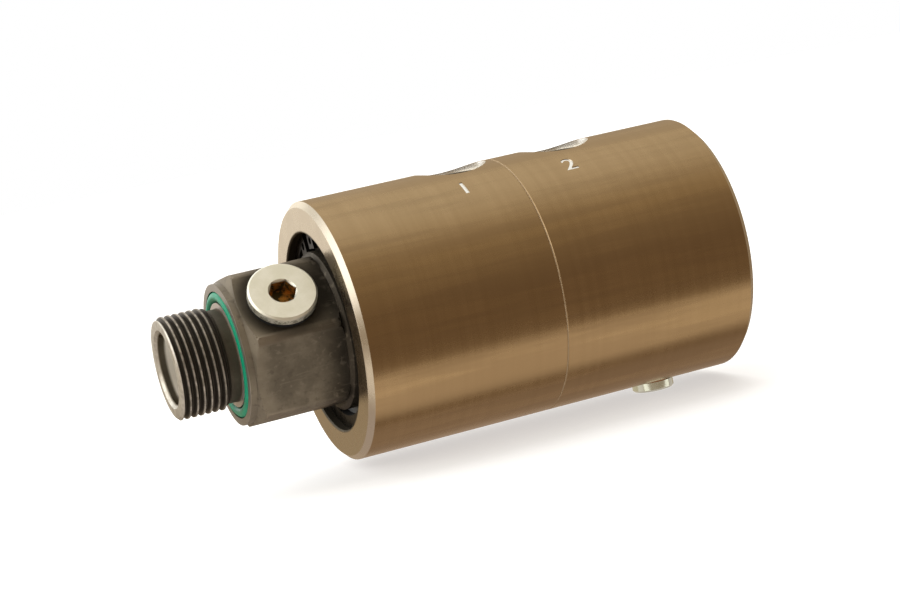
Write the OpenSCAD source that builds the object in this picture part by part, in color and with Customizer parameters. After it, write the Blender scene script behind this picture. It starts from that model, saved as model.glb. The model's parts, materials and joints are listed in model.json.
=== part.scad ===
// Two-passage rotary union. A threaded rotor with a hexagon turns in two ball bearings
// inside a plain cylindrical housing with two radial hose ports.
// The rotor axis is +X, the ports face +Z, and the origin is the centre of the
// rotor's sealing shoulder, where the threaded spigot begins.

/* [Housing] */
// Outside diameter of the housing
housing_d = 85; // [82:0.5:100]
// Length of the housing
housing_len = 135; // [124:1:160]
// Distance from the rotor's sealing shoulder to the front face of the housing
front_x = 32; // [30:0.5:45]
// Chamfer round the front face
front_chamfer = 1.7; // [0.5:0.1:3]
// Chamfer round the rear face
rear_chamfer = 1.9; // [0.5:0.1:3]
// Chamfer at each mouth of the through bore
mouth_chamfer = 0.4; // [0.2:0.1:0.8]
// Width of the scribed line round the middle of the housing
scribe_w = 0.7; // [0.3:0.1:1.5]
// Depth of the scribed line
scribe_depth = 0.3; // [0.1:0.05:0.6]

/* [Hose ports] */
// Distance from the rear face to the second port
port_inset = 44; // [41:0.5:48]
// Distance between the two ports
port_spacing = 37; // [34:0.5:40]
// Diameter of the flat spot face round a port
spot_d = 24; // [22:0.5:30]
// Depth of the spot face below the crown of the housing
spot_depth = 2.4; // [1.5:0.1:3]
// Core diameter of the port thread, three-eighths pipe
port_core_d = 15; // [13:0.1:16]
// Depth of the port thread below its spot face
port_thread_len = 11; // [8:0.5:11]
// Diameter of the chamfer at the mouth of a port
port_mouth_d = 17.8; // [17:0.1:20]
// Diameter of the drilling from a port to its oil groove
port_drill_d = 10; // [6:0.5:11]
// Width of an oil groove, in the housing and in the rotor
oil_groove_w = 11; // [10:0.5:13]
// Depth of an oil groove in the housing
oil_groove_depth = 3.4; // [2:0.1:4]
// Depth of an oil groove in the rotor
rotor_groove_depth = 1.5; // [0.8:0.1:1.8]

/* [Leak port] */
// Distance from the rear face to the leak port
leak_inset = 25; // [24.6:0.1:26.2]
// Diameter of the spot face under the leak plug
leak_spot_d = 15.4; // [14.6:0.2:18]
// Depth of that spot face below the crown of the housing
leak_spot_depth = 0.9; // [0.8:0.1:1.5]
// Core diameter of the leak port thread, one-eighth pipe
leak_core_d = 8.6; // [7.6:0.1:9]
// Depth of the leak port thread
leak_thread_len = 7; // [6:0.1:7.2]
// Diameter of the leak drillings
leak_drill_d = 4; // [2:0.2:4]
// Diameter of the cross drillings that lead the leak oil into the rotor
leak_cross_d = 3.2; // [2:0.2:3.6]
// Width of a leak groove
leak_groove_w = 4.6; // [4.4:0.1:5]
// Depth of a leak groove in the housing
leak_groove_depth = 1.6; // [0.8:0.1:2.4]
// Distance from the front face to the front leak groove
front_leak_x = 24.5; // [24:0.5:30]

/* [Rotor spigot] */
// Outside diameter of the spigot thread, one-inch pipe
thread_d = 33.25; // [30:0.05:33.4]
// Length of the spigot from its tip to the sealing shoulder
spigot_len = 20; // [16:0.5:28]
// Chamfer at the tip of the spigot
tip_chamfer = 1; // [0.5:0.1:1.5]
// Width of the thread relief next to the shoulder
relief_w = 3.6; // [2:0.1:5]
// Depth of the thread relief below the thread
relief_depth = 1.5; // [1.2:0.1:2]
// Diameter of the bore in the spigot
spigot_bore_d = 23; // [19:0.5:24]
// Depth of that bore beyond the shoulder
bore_beyond = 2.5; // [1:0.5:3]
// Chamfer at the mouth of the bore
bore_chamfer = 1.2; // [0.4:0.1:1.6]
// Diameter of the passage that carries on through the rotor
passage_d = 16; // [12:0.5:17]
// Inside diameter of the groove for the face seal
face_groove_in_d = 33.9; // [33.8:0.1:35]
// Thickness of the face seal's round section
face_ring_w = 3.5; // [2:0.1:3.6]
// How far the face seal stands proud of the shoulder
face_ring_proud = 0.5; // [0.3:0.1:0.8]

/* [Rotor hexagon] */
// Width of the hexagon across its flats
hex_af = 47; // [46.6:0.1:48]
// Diameter to which the corners of the hexagon are turned round
hex_round_d = 53; // [51:0.1:53.4]
// Diameter of the round sealing face at the front of the hexagon
hex_face_d = 46; // [44:0.1:46.2]
// Thickness of that face in front of the chamfer
hex_face_t = 2.2; // [0.5:0.1:3]
// Angle of the hexagon's end chamfers to its ends
hex_chamfer_angle = 30; // [15:1:35]
// Turn of the flat that carries the side port, from straight up
side_angle = 50; // [0:1:359]
// Distance from the shoulder to the side port
side_x = 16.5; // [14:0.5:17.5]
// Depth of the side port's thread
side_thread_len = 12; // [10:0.5:12.5]

/* [Rotor shaft] */
// Diameter of the collar that the shaft seal runs on
collar_d = 52; // [51:0.2:52.4]
// Chamfer at the front of the collar
collar_chamfer = 1.2; // [0.5:0.1:1.5]
// Distance from the housing's front face to the collar's front
collar_inset = 0.3; // [0.3:0.1:1]
// Length of rotor behind the rear bearing
shaft_end_len = 4; // [3.5:0.1:4.4]
// Chamfer at the rear end of the rotor
shaft_chamfer = 0.8; // [0.3:0.1:1.2]
// Diameter of the drillings from oil groove to passage and along the rotor
gallery_d = 9; // [6:0.5:9.2]
// Diameter of the cross drilling from the second oil groove to its long drilling
gallery_cross_d = 8; // [5:0.5:8]
// Distance of the long second drilling from the rotor's axis
gallery_r = 16.5; // [16:0.1:17]
// Wall between the long leak drilling and the groove of the shaft's retaining ring
leak_gallery_wall = 1.5; // [1.3:0.1:3]
// Length of the press-in plugs that close the long drillings
gallery_plug_len = 7; // [4:0.5:9]

/* [Bearings] */
// Bore of a bearing, and diameter of the rotor's shaft
bearing_bore_d = 50; // [49.5:0.1:50.4]
// Outside diameter of a bearing, and bore of its seat
bearing_d = 65; // [64.4:0.1:66]
// Width of a bearing
bearing_w = 7; // [6.6:0.1:7.6]
// Diameter of a ball
ball_d = 4; // [3.6:0.1:4.2]
// Number of balls in a bearing
ball_count = 24; // [16:1:26]
// Height of a race's shoulder above the bottom of its groove, as a share of a ball
race_share = 0.21; // [0.15:0.01:0.24]
// Thickness of a cage
cage_t = 1.4; // [1:0.1:1.6]
// Width of a cage
cage_w = 5.2; // [4.9:0.1:6]
// Chamfer on a ring's outside corners
ring_chamfer = 0.5; // [0.2:0.1:0.6]

/* [Seals] */
// Width of the shaft seal
shaft_seal_w = 7; // [6.5:0.1:9]
// Width of a pressure seal
seal_ring_w = 4; // [3:0.1:5]
// Thickness of a pressure seal
seal_ring_t = 1.9; // [1.5:0.1:2.2]
// Thickness of the round ring behind a pressure seal
energiser_w = 1.9; // [1.5:0.05:2.2]
// Distance between the edge of an oil groove and the pressure seal beside it
seal_land = 3.6; // [3:0.1:5]
// Thickness of the garter spring on the shaft seal's lip
garter_w = 0.9; // [0.6:0.1:1]
// Thickness of the round ring on the rear cover
cover_ring_w = 2; // [1.5:0.1:2.4]

/* [Retaining rings] */
// Distance from the end face of the housing to a retaining ring
circlip_inset = 3; // [2.5:0.1:5]
// Thickness of the two inner retaining rings
circlip_t = 2.5; // [2:0.1:3]
// Depth of the grooves for them
circlip_groove_depth = 1.5; // [1:0.1:1.8]
// Width of an inner retaining ring opposite its gap
circlip_w = 5.7; // [4.5:0.1:6]
// How far the centre of its inside edge is shifted towards the gap
circlip_shift = 0.8; // [0:0.1:1]
// Turn of the gap from straight up, away from the side port
circlip_gap_turn = 13; // [0:1:359]
// Width of the gap between the two ears
circlip_gap = 4.2; // [2:0.2:6]
// Width of an ear
ear_w = 5; // [4:0.2:6]
// Diameter of the pliers hole in an ear
ear_hole_d = 2.5; // [1.5:0.1:2.8]
// Wall between that hole and the edge of the ear
ear_wall = 1; // [0.6:0.1:1.2]
// Clearance between the ears and the collar
ear_gap = 0.8; // [0.5:0.1:1.2]
// Thickness of the outer retaining ring on the shaft
shaft_ring_t = 2; // [1.5:0.1:2.4]
// Width of that ring opposite its gap
shaft_ring_w = 4.6; // [3.5:0.1:5]
// Depth of its groove in the shaft
shaft_ring_depth = 1.5; // [1:0.1:1.8]
// How far its ears reach beyond its widest part
shaft_ear_rise = 0.6; // [0.2:0.1:0.8]
// Diameter of the pliers hole in its ears
shaft_ear_hole_d = 2; // [1.2:0.1:2.2]

/* [Rear cover] */
// Thickness of the cover's closed wall
cover_t = 4; // [3.2:0.1:5]
// Thickness of the cover's rim
cover_rim_t = 2.5; // [2:0.1:2.8]

/* [Screw plugs] */
// Diameter of the head of the side plug
side_head_d = 22; // [20:0.5:24]
// Height of the head of the side plug
side_head_h = 3; // [2.5:0.1:4]
// Width across the flats of the side plug's socket
side_socket_af = 8; // [6:0.5:10]
// Depth of the side plug's socket
side_socket_depth = 5.5; // [4:0.5:7]
// Diameter of the head of the leak plug
leak_head_d = 14; // [12.5:0.5:14.4]
// Height of the head of the leak plug
leak_head_h = 3; // [2:0.1:4]
// Width across the flats of the leak plug's socket
leak_socket_af = 5; // [4:0.5:6]
// Depth of the leak plug's socket
leak_socket_depth = 4; // [3:0.5:6]
// Chamfer on the heads of the plugs
head_chamfer = 0.6; // [0.3:0.1:1]
// Thickness of the side plug's sealing ring
side_seal_t = 1.3; // [0.8:0.1:2]
// Thickness of the leak plug's sealing ring
leak_seal_t = 0.7; // [0.5:0.1:1.2]
// Width of the wall of the sealing rings
plug_seal_w = 2; // [1.2:0.1:2.4]

/* [Clearances] */
// Radial clearance of the turning rotor, of its seals and of each ball in its race
run_gap = 0.05; // [0.03:0.01:0.08]
// Radial clearance between pieces that are pushed together by hand
seat_gap = 0.03; // [0.02:0.01:0.06]
// Clearance of a sealing piece in its groove
groove_gap = 0.1; // [0.05:0.01:0.2]
// Clearance round a ball in its cage pocket
pocket_gap = 0.12; // [0.1:0.01:0.2]
// Clearance between turning and still pieces that never touch
open_gap = 0.5; // [0.3:0.05:0.8]

/* [Hidden] */
$fn = 96;
small_fn = 48;
over = 1;
small_edge = 0.4;

housing_r = housing_d / 2;
rear_x = front_x + housing_len;
middle_x = front_x + housing_len / 2;
seat_r = bearing_d / 2;
shaft_r = bearing_bore_d / 2;
bore_r = shaft_r + run_gap;
collar_r = collar_d / 2;
thread_r = thread_d / 2;
relief_r = thread_r - relief_depth;

circlip_groove_r = seat_r + circlip_groove_depth;
front_ring_x = front_x + circlip_inset;
shaft_seal_x = front_ring_x + circlip_t;
front_bearing_x = shaft_seal_x + shaft_seal_w;
front_seat_x = front_bearing_x + bearing_w;
collar_x = front_x + collar_inset;

rear_ring_x = rear_x - circlip_inset - circlip_t;
cover_x = rear_ring_x - cover_t;
cover_rim_x = rear_ring_x - cover_t - shaft_end_len - open_gap;
rear_bearing_x = cover_rim_x - bearing_w;
shaft_ring_x = rear_bearing_x + bearing_w;
rotor_end_x = shaft_ring_x + shaft_end_len;

cover_r = seat_r - seat_gap;
cover_ring_x = cover_x + cover_t / 2;
cover_ring_r = cover_r - cover_ring_w / 2 + seat_gap / 2;

port_x = [rear_x - port_inset - port_spacing, rear_x - port_inset];
port_face_z = housing_r - spot_depth;
oil_groove_r = bore_r + oil_groove_depth;
rotor_groove_r = shaft_r - rotor_groove_depth;
leak_port_x = rear_x - leak_inset;
leak_face_r = housing_r - leak_spot_depth;
leak_groove_r = bore_r + leak_groove_depth;
leak_groove_x = [front_x + front_leak_x, leak_port_x];
leak_gallery_r = shaft_r - shaft_ring_depth - leak_gallery_wall - leak_drill_d / 2;

seal_groove_w = seal_ring_w + 2 * groove_gap;
seal_ring_r = bore_r + seal_ring_t;
energiser_r = seal_ring_r + seat_gap + energiser_w / 2;
seal_groove_r = energiser_r + energiser_w / 2 + seat_gap;
seal_mid_x = [
    port_x[0] - oil_groove_w / 2 - seal_land - seal_groove_w / 2,
    (port_x[0] + port_x[1]) / 2,
    port_x[1] + oil_groove_w / 2 + seal_land + seal_groove_w / 2
];

face_ring_r = face_groove_in_d / 2 + groove_gap + face_ring_w / 2;
face_groove_out_r = face_ring_r + face_ring_w / 2 + groove_gap;
face_groove_depth = face_ring_w - face_ring_proud + groove_gap;

hex_corner_r = hex_af / sqrt(3);
hex_round_r = hex_round_d / 2;
hex_face_r = hex_face_d / 2;
chamfer_slope = tan(hex_chamfer_angle);
flat_r = hex_af / 2;

// Shaft seal: its case, its front wall, its dust lip and its sealing lip
case_t = 2.1;
wall_t = 1.6;
case_corner = 0.3;
dust_lip_w = 0.5;
dust_lip_x = shaft_seal_x + 0.7;
dust_hollow = 2.2;
dust_bevel = 0.6;
lip_r = collar_r + run_gap;
lip_t = 2.8;
lip_half_w = 1.3;
lip_bevel = 0.4;
lip_back_r = lip_r + lip_t;
lip_x = shaft_seal_x + 0.66 * shaft_seal_w;
garter_x = lip_x + 0.2;

race_r = ball_d / 2 + run_gap;
pitch_r = (shaft_r + seat_r) / 2;
inner_land_r = pitch_r - race_r + race_share * ball_d;
outer_land_r = pitch_r + race_r - race_share * ball_d;

// Revolves an outline of [x, radius] points round the rotor axis
module turned(outline) {
    rotate([0, 90, 0])
        rotate_extrude()
            polygon([for (p = outline) [p[1], p[0]]]);
}

// Ring of round section round the rotor axis
module round_ring(x, r, section_d) {
    translate([x, 0, 0])
        rotate([0, 90, 0])
            rotate_extrude()
                translate([r, 0])
                    circle(d = section_d, $fn = small_fn);
}

// Places its children on a radial line at x, turned from straight up
module radial(x, turn) {
    translate([x, 0, 0])
        rotate([turn, 0, 0])
            children();
}

// Cylinder along the rotor axis at a distance from it
module axial_drill(x0, x1, r, turn, d) {
    rotate([turn, 0, 0])
        translate([x0, 0, r])
            rotate([0, 90, 0])
                cylinder(d = d, h = x1 - x0, $fn = small_fn);
}

function groove(x0, x1, base_r, groove_r) = [[x0, base_r], [x0, groove_r], [x1, groove_r], [x1, base_r]];

function reversed(list) = [for (i = [len(list) - 1 : -1 : 0]) list[i]];

housing_outline = concat(
    [
        [front_x, seat_r + mouth_chamfer],
        [front_x, housing_r - front_chamfer],
        [front_x + front_chamfer, housing_r],
        [middle_x - scribe_w / 2, housing_r],
        [middle_x, housing_r - scribe_depth],
        [middle_x + scribe_w / 2, housing_r],
        [rear_x - rear_chamfer, housing_r],
        [rear_x, housing_r - rear_chamfer],
        [rear_x, seat_r + mouth_chamfer],
        [rear_x - mouth_chamfer, seat_r]
    ],
    reversed(groove(rear_ring_x - groove_gap, rear_ring_x + circlip_t + groove_gap, seat_r, circlip_groove_r)),
    [
        [rear_bearing_x, seat_r],
        [rear_bearing_x, outer_land_r],
        [rear_bearing_x - open_gap, outer_land_r],
        [rear_bearing_x - open_gap, bore_r]
    ],
    reversed(groove(leak_groove_x[1] - leak_groove_w / 2, leak_groove_x[1] + leak_groove_w / 2,
        bore_r, leak_groove_r)),
    reversed(seal_groove(2)),
    reversed(oil_groove(1)),
    reversed(seal_groove(1)),
    reversed(oil_groove(0)),
    reversed(seal_groove(0)),
    reversed(groove(leak_groove_x[0] - leak_groove_w / 2, leak_groove_x[0] + leak_groove_w / 2,
        bore_r, leak_groove_r)),
    [
        [front_seat_x + open_gap, bore_r],
        [front_seat_x + open_gap, outer_land_r],
        [front_seat_x, outer_land_r],
        [front_seat_x, seat_r]
    ],
    reversed(groove(front_ring_x - groove_gap, shaft_seal_x + groove_gap, seat_r, circlip_groove_r)),
    [
        [front_x + mouth_chamfer, seat_r]
    ]
);

function seal_groove(i) =
    groove(seal_mid_x[i] - seal_groove_w / 2, seal_mid_x[i] + seal_groove_w / 2, bore_r, seal_groove_r);

function oil_groove(i) =
    groove(port_x[i] - oil_groove_w / 2, port_x[i] + oil_groove_w / 2, bore_r, oil_groove_r);

module hose_port(x) {
    mouth = (port_mouth_d - port_core_d) / 2;
    translate([x, 0, port_face_z])
        cylinder(d = spot_d, h = spot_depth + over);
    translate([x, 0, port_face_z - port_thread_len])
        cylinder(d = port_core_d, h = port_thread_len + over);
    translate([x, 0, port_face_z - mouth])
        cylinder(d1 = port_core_d, d2 = port_mouth_d + 2 * over, h = mouth + over);
    translate([x, 0, bore_r - over])
        cylinder(d = port_drill_d, h = port_face_z - bore_r);
}

module leak_port() {
    radial(leak_port_x, 180) {
        translate([0, 0, leak_face_r])
            cylinder(d = leak_spot_d, h = leak_spot_depth + over);
        translate([0, 0, leak_face_r - leak_thread_len])
            cylinder(d = leak_core_d, h = leak_thread_len + over);
        translate([0, 0, bore_r - over])
            cylinder(d = leak_drill_d, h = leak_face_r - bore_r, $fn = small_fn);
    }
}

module housing() {
    color("#8c7450")
        difference() {
            turned(housing_outline);
            hose_port(port_x[0]);
            hose_port(port_x[1]);
            leak_port();
        }
}

module hexagon_bar() {
    front_reach = (hex_round_r - hex_face_r) * chamfer_slope;
    rear_reach = (hex_round_r - collar_r + collar_chamfer) * chamfer_slope;
    intersection() {
        rotate([side_angle + 30, 0, 0])
            rotate([0, 90, 0])
                cylinder(r = hex_corner_r, h = collar_x + over, $fn = 6);
        turned([
            [0, 0],
            [0, hex_face_r],
            [hex_face_t, hex_face_r],
            [hex_face_t + front_reach, hex_round_r],
            [collar_x - rear_reach, hex_round_r],
            [collar_x, collar_r - collar_chamfer],
            [collar_x + over / 2, collar_r - collar_chamfer],
            [collar_x + over / 2, 0]
        ]);
    }
}

rotor_bar_outline = [
    [-spigot_len, 0],
    [-spigot_len, thread_r - tip_chamfer],
    [-spigot_len + tip_chamfer, thread_r],
    [-relief_w - relief_depth, thread_r],
    [-relief_w, relief_r],
    [over, relief_r],
    [over, 0]
];

rotor_shaft_outline = concat(
    [
        [collar_x, 0],
        [collar_x, collar_r - collar_chamfer],
        [collar_x + collar_chamfer, collar_r],
        [front_bearing_x, collar_r],
        [front_bearing_x, shaft_r]
    ],
    groove(leak_groove_x[0] - leak_groove_w / 2, leak_groove_x[0] + leak_groove_w / 2, shaft_r, rotor_groove_r),
    groove(port_x[0] - oil_groove_w / 2, port_x[0] + oil_groove_w / 2, shaft_r, rotor_groove_r),
    groove(port_x[1] - oil_groove_w / 2, port_x[1] + oil_groove_w / 2, shaft_r, rotor_groove_r),
    groove(leak_groove_x[1] - leak_groove_w / 2, leak_groove_x[1] + leak_groove_w / 2, shaft_r, rotor_groove_r),
    groove(shaft_ring_x, shaft_ring_x + shaft_ring_t + groove_gap, shaft_r, shaft_r - shaft_ring_depth),
    [
        [rotor_end_x - shaft_chamfer, shaft_r],
        [rotor_end_x, shaft_r - shaft_chamfer],
        [rotor_end_x, 0]
    ]
);

passage_end_x = port_x[0] + gallery_d / 2 + over;
passage_outline = [
    [-spigot_len - over, 0],
    [-spigot_len - over, spigot_bore_d / 2 + bore_chamfer + over],
    [-spigot_len + bore_chamfer, spigot_bore_d / 2],
    [bore_beyond, spigot_bore_d / 2],
    [bore_beyond + (spigot_bore_d - passage_d) / 2, passage_d / 2],
    [passage_end_x, passage_d / 2],
    [passage_end_x + passage_d / 4, 0]
];

module side_port() {
    mouth = (port_mouth_d - port_core_d) / 2;
    radial(side_x, side_angle) {
        translate([0, 0, flat_r - side_thread_len])
            cylinder(d = port_core_d, h = side_thread_len + over);
        translate([0, 0, flat_r - mouth])
            cylinder(d1 = port_core_d, d2 = port_mouth_d + 2 * over, h = mouth + over);
    }
}

// The four cross holes of the first passage stand between the two long drillings
module rotor_drillings() {
    for (turn = [60, 120, 240, 300])
        radial(port_x[0], side_angle + turn)
            cylinder(d = gallery_d, h = shaft_r + over, $fn = small_fn);
    axial_drill(side_x, rotor_end_x + over, gallery_r, side_angle, gallery_d);
    radial(port_x[1], side_angle)
        translate([0, 0, gallery_r])
            cylinder(d = gallery_cross_d, h = shaft_r - gallery_r + over, $fn = small_fn);
    axial_drill(leak_groove_x[0] - leak_drill_d / 2, rotor_end_x + over,
        leak_gallery_r, side_angle + 180, leak_drill_d);
    for (x = leak_groove_x)
        radial(x, side_angle + 180)
            translate([0, 0, leak_gallery_r])
                cylinder(d = leak_cross_d, h = shaft_r - leak_gallery_r + over, $fn = small_fn);
}

module rotor() {
    color("#5f5546")
        difference() {
            union() {
                turned(rotor_bar_outline);
                hexagon_bar();
                turned(rotor_shaft_outline);
            }
            turned(passage_outline);
            turned([
                [-over, face_groove_in_d / 2],
                [face_groove_depth, face_groove_in_d / 2],
                [face_groove_depth, face_groove_out_r],
                [-over, face_groove_out_r]
            ]);
            side_port();
            rotor_drillings();
        }
}

module face_o_ring() {
    color("#2a9a66")
        round_ring(face_ring_w / 2 - face_ring_proud, face_ring_r, face_ring_w);
}

// Screw plug with a collar head: seated at z = 0, head upwards
module screw_plug(head_d, head_h, seal_t, shank_d, shank_len, socket_af, socket_depth) {
    difference() {
        union() {
            rotate_extrude()
                polygon([
                    [0, seal_t],
                    [head_d / 2, seal_t],
                    [head_d / 2, seal_t + head_h - head_chamfer],
                    [head_d / 2 - head_chamfer, seal_t + head_h],
                    [0, seal_t + head_h]
                ]);
            rotate_extrude()
                polygon([
                    [0, -shank_len],
                    [shank_d / 2 - head_chamfer, -shank_len],
                    [shank_d / 2, head_chamfer - shank_len],
                    [shank_d / 2, seal_t + over / 2],
                    [0, seal_t + over / 2]
                ]);
        }
        translate([0, 0, seal_t + head_h - socket_depth])
            cylinder(d = socket_af * 2 / sqrt(3), h = socket_depth + over, $fn = 6);
        translate([0, 0, seal_t + head_h - head_chamfer])
            cylinder(d1 = socket_af, d2 = socket_af + 4 * head_chamfer, h = 2 * head_chamfer);
    }
}

module flat_washer(inner_d, wall, t) {
    difference() {
        cylinder(d = inner_d + 2 * wall, h = t);
        translate([0, 0, -over])
            cylinder(d = inner_d, h = t + 2 * over);
    }
}

module rotor_plug() {
    color("#d3d0b8")
        radial(side_x, side_angle)
            translate([0, 0, flat_r])
                screw_plug(side_head_d, side_head_h, side_seal_t, port_core_d - 2 * seat_gap,
                    side_thread_len - over, side_socket_af, side_socket_depth);
}

module rotor_plug_seal() {
    color("#2b2b27")
        radial(side_x, side_angle)
            translate([0, 0, flat_r])
                flat_washer(port_mouth_d, plug_seal_w, side_seal_t);
}

module leak_plug() {
    color("#d3d0b8")
        radial(leak_port_x, 180)
            translate([0, 0, leak_face_r])
                screw_plug(leak_head_d, leak_head_h, leak_seal_t, leak_core_d - 2 * seat_gap,
                    leak_thread_len - over, leak_socket_af, leak_socket_depth);
}

module leak_plug_seal() {
    color("#b8834f")
        radial(leak_port_x, 180)
            translate([0, 0, leak_face_r])
                flat_washer(leak_core_d + 2 * groove_gap, plug_seal_w, leak_seal_t);
}

// Inner retaining ring: eccentric inside edge, a gap and two drilled ears
module inner_ring_face(collar_clear_r) {
    outer_r = circlip_groove_r - seat_gap;
    inner_r = outer_r - circlip_w + circlip_shift;
    ear_mid = (circlip_gap + ear_w) / 2;
    hole_r = collar_clear_r + ear_hole_d / 2 + ear_wall;
    difference() {
        union() {
            difference() {
                circle(r = outer_r);
                translate([0, circlip_shift])
                    circle(r = inner_r);
            }
            intersection() {
                circle(r = outer_r - circlip_w / 4);
                difference() {
                    translate([-circlip_gap / 2 - ear_w, 0])
                        square([circlip_gap + 2 * ear_w, outer_r]);
                    circle(r = collar_clear_r);
                }
            }
        }
        translate([-circlip_gap / 2, 0])
            square([circlip_gap, outer_r + over]);
        for (side = [-1, 1])
            translate([side * ear_mid, hole_r])
                circle(d = ear_hole_d, $fn = small_fn);
    }
}

module inner_circlip(x) {
    translate([x, 0, 0])
        rotate([-circlip_gap_turn, 0, 0])
            rotate([90, 0, 90])
                linear_extrude(circlip_t)
                    inner_ring_face(collar_r + ear_gap);
}

module front_circlip() {
    color("#4a4640") inner_circlip(front_ring_x);
}

module rear_circlip() {
    color("#4a4640") inner_circlip(rear_ring_x);
}

// Outer retaining ring on the shaft: eccentric outside edge, a gap and two drilled ears
module shaft_circlip() {
    inner_r = shaft_r - shaft_ring_depth + seat_gap;
    outer_r = inner_r + shaft_ring_w - circlip_shift;
    ear_r = inner_r + shaft_ring_w + shaft_ear_rise;
    ear_mid = (circlip_gap + ear_w) / 2;
    color("#4a4640")
        translate([shaft_ring_x, 0, 0])
            rotate([side_angle + 90, 0, 0])
                rotate([90, 0, 90])
                    linear_extrude(shaft_ring_t)
                        difference() {
                            union() {
                                translate([0, -circlip_shift])
                                    circle(r = outer_r);
                                intersection() {
                                    circle(r = ear_r);
                                    translate([-circlip_gap / 2 - ear_w, 0])
                                        square([circlip_gap + 2 * ear_w, ear_r]);
                                }
                            }
                            circle(r = inner_r);
                            translate([-circlip_gap / 2, 0])
                                square([circlip_gap, ear_r + over]);
                            for (side = [-1, 1])
                                translate([side * ear_mid, ear_r - shaft_ear_hole_d / 2 - ear_wall])
                                    circle(d = shaft_ear_hole_d, $fn = small_fn);
                        }
}

// Shaft seal: a ring pressed into the housing, a thin front wall, a dust lip
// and a sealing lip that a garter spring closes on the collar
module front_shaft_seal() {
    x = shaft_seal_x;
    color("#191918")
        turned([
            [x, lip_r + dust_hollow],
            [x, seat_r - seat_gap],
            [x + shaft_seal_w, seat_r - seat_gap],
            [x + shaft_seal_w, seat_r - case_t],
            [x + wall_t, seat_r - case_t - case_corner],
            [x + wall_t, lip_back_r - lip_bevel],
            [lip_x - lip_half_w - lip_bevel / 2, lip_back_r - lip_bevel],
            [lip_x - lip_half_w + lip_bevel / 2, lip_back_r],
            [lip_x + lip_half_w, lip_back_r],
            [lip_x + lip_half_w, lip_r + lip_t / 2],
            [lip_x, lip_r],
            [lip_x - lip_half_w, lip_r + lip_t / 3],
            [x + wall_t + lip_bevel, lip_r + lip_t / 3],
            [dust_lip_x + dust_lip_w, lip_r],
            [dust_lip_x, lip_r],
            [dust_lip_x - dust_lip_w, lip_r + dust_hollow - dust_bevel]
        ]);
}

module seal_garter_spring() {
    color("#8f8f8f")
        round_ring(garter_x, lip_back_r + garter_w / 2, garter_w);
}

// Ring with chamfered corners between two radii, without its race
module ring_blank(x, inner_r, outer_r, inner_c, outer_c) {
    turned([
        [x, inner_r + inner_c],
        [x, outer_r - outer_c],
        [x + outer_c, outer_r],
        [x + bearing_w - outer_c, outer_r],
        [x + bearing_w, outer_r - outer_c],
        [x + bearing_w, inner_r + inner_c],
        [x + bearing_w - inner_c, inner_r],
        [x + inner_c, inner_r]
    ]);
}

module bearing_outer_ring(x) {
    color("#9a9a98")
        difference() {
            ring_blank(x, outer_land_r, seat_r - seat_gap, ring_chamfer / 4, ring_chamfer);
            round_ring(x + bearing_w / 2, pitch_r, 2 * race_r);
        }
}

module bearing_inner_ring(x) {
    color("#9a9a98")
        difference() {
            ring_blank(x, shaft_r + seat_gap, inner_land_r, ring_chamfer, ring_chamfer / 4);
            round_ring(x + bearing_w / 2, pitch_r, 2 * race_r);
        }
}

module bearing_balls(x) {
    color("#c8c8c8")
        for (i = [0 : ball_count - 1])
            radial(x + bearing_w / 2, i * 360 / ball_count)
                translate([0, 0, pitch_r])
                    sphere(d = ball_d, $fn = small_fn);
}

module bearing_cage(x) {
    mid = x + bearing_w / 2;
    color("#b08d57")
        difference() {
            turned([
                [mid - cage_w / 2, pitch_r - cage_t / 2],
                [mid - cage_w / 2, pitch_r + cage_t / 2],
                [mid + cage_w / 2, pitch_r + cage_t / 2],
                [mid + cage_w / 2, pitch_r - cage_t / 2]
            ]);
            for (i = [0 : ball_count - 1])
                radial(mid, i * 360 / ball_count)
                    translate([0, 0, pitch_r - cage_t])
                        cylinder(d = ball_d + 2 * pocket_gap, h = 2 * cage_t, $fn = small_fn);
        }
}

module front_bearing_outer_ring() { bearing_outer_ring(front_bearing_x); }
module front_bearing_inner_ring() { bearing_inner_ring(front_bearing_x); }
module front_bearing_balls() { bearing_balls(front_bearing_x); }
module front_bearing_cage() { bearing_cage(front_bearing_x); }
module rear_bearing_outer_ring() { bearing_outer_ring(rear_bearing_x); }
module rear_bearing_inner_ring() { bearing_inner_ring(rear_bearing_x); }
module rear_bearing_balls() { bearing_balls(rear_bearing_x); }
module rear_bearing_cage() { bearing_cage(rear_bearing_x); }

module pressure_seal(i) {
    edge = small_edge;
    x0 = seal_mid_x[i] - seal_ring_w / 2;
    x1 = seal_mid_x[i] + seal_ring_w / 2;
    color("#7a6a3c")
        turned([
            [x0 + edge, bore_r],
            [x0, bore_r + edge],
            [x0, seal_ring_r],
            [x1, seal_ring_r],
            [x1, bore_r + edge],
            [x1 - edge, bore_r]
        ]);
}

module seal_energiser(i) {
    color("#1c1c1c")
        round_ring(seal_mid_x[i], energiser_r, energiser_w);
}

module pressure_seal_1() { pressure_seal(0); }
module pressure_seal_2() { pressure_seal(1); }
module pressure_seal_3() { pressure_seal(2); }
module seal_energiser_1() { seal_energiser(0); }
module seal_energiser_2() { seal_energiser(1); }
module seal_energiser_3() { seal_energiser(2); }

module end_plug(r, turn, hole_d) {
    rotate([turn, 0, 0])
        translate([rotor_end_x - gallery_plug_len - shaft_chamfer, 0, r])
            rotate([0, 90, 0])
                rotate_extrude($fn = small_fn)
                    polygon([
                        [0, 0],
                        [hole_d / 2 - seat_gap - small_edge, 0],
                        [hole_d / 2 - seat_gap, small_edge],
                        [hole_d / 2 - seat_gap, gallery_plug_len],
                        [0, gallery_plug_len]
                    ]);
}

module gallery_plug() {
    color("#777777") end_plug(gallery_r, side_angle, gallery_d);
}

module leak_gallery_plug() {
    color("#777777") end_plug(leak_gallery_r, side_angle + 180, leak_drill_d);
}

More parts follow.
